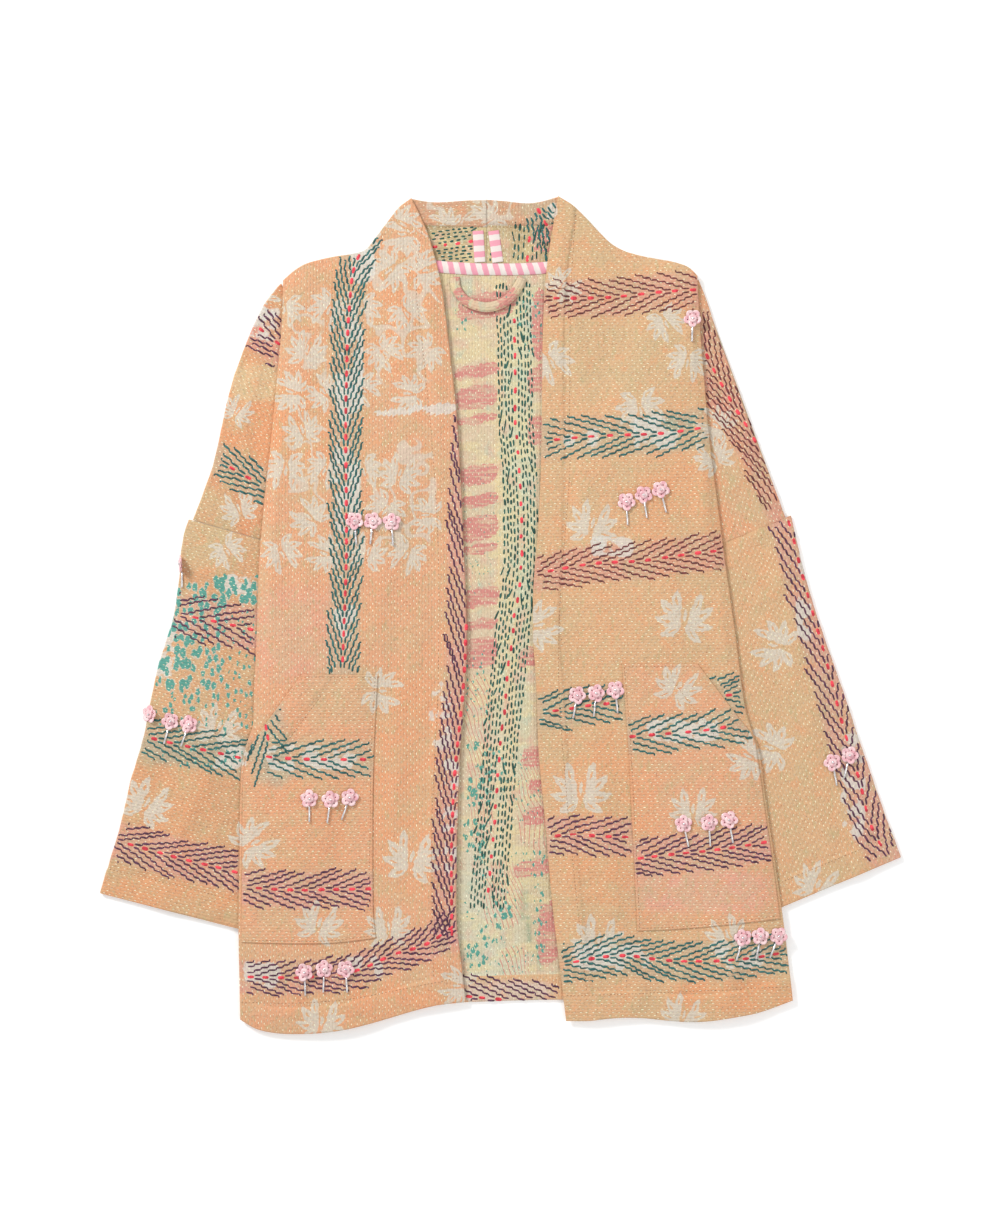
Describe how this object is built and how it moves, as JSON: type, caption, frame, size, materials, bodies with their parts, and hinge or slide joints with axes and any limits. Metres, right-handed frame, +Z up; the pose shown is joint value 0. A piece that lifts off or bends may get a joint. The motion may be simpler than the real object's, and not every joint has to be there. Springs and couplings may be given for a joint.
{
  "type": "sequin jacket",
  "caption": "Open quilted cotton jacket with a stand collar, wide sleeves and patch pockets, laid flat face up, with chevron embroidery and small sequin flowers.",
  "frame": {"origin": "on the surface the jacket lies on, under the middle of its outline", "axes": "+Z up, off the surface; +Y from hem to collar; +X to the wearer's left, which is right in the view from above"},
  "size_m": [0.8, 0.837, 0.0133],
  "materials": {
    "outer_cloth": "matte printed and quilted cotton",
    "inner_cloth": "matte printed and quilted cotton",
    "stripe_tape": "matte striped cotton tape"
  },
  "bodies": {
    "root": {"back": "inner_cloth", "front_right": "outer_cloth", "front_left": "outer_cloth", "collar_back_right": "inner_cloth", "collar_back_left": "inner_cloth", "sleeve_upper_right": "outer_cloth", "sleeve_lower_right": "outer_cloth", "sleeve_upper_left": "outer_cloth", "sleeve_lower_left": "outer_cloth", "pocket_right": "outer_cloth", "pocket_left": "outer_cloth", "neck_binding": "stripe_tape", "seam_tape_right": "stripe_tape", "seam_tape_left": "stripe_tape", "hanger_loop": "inner_cloth"}
  },
  "joints": []
}
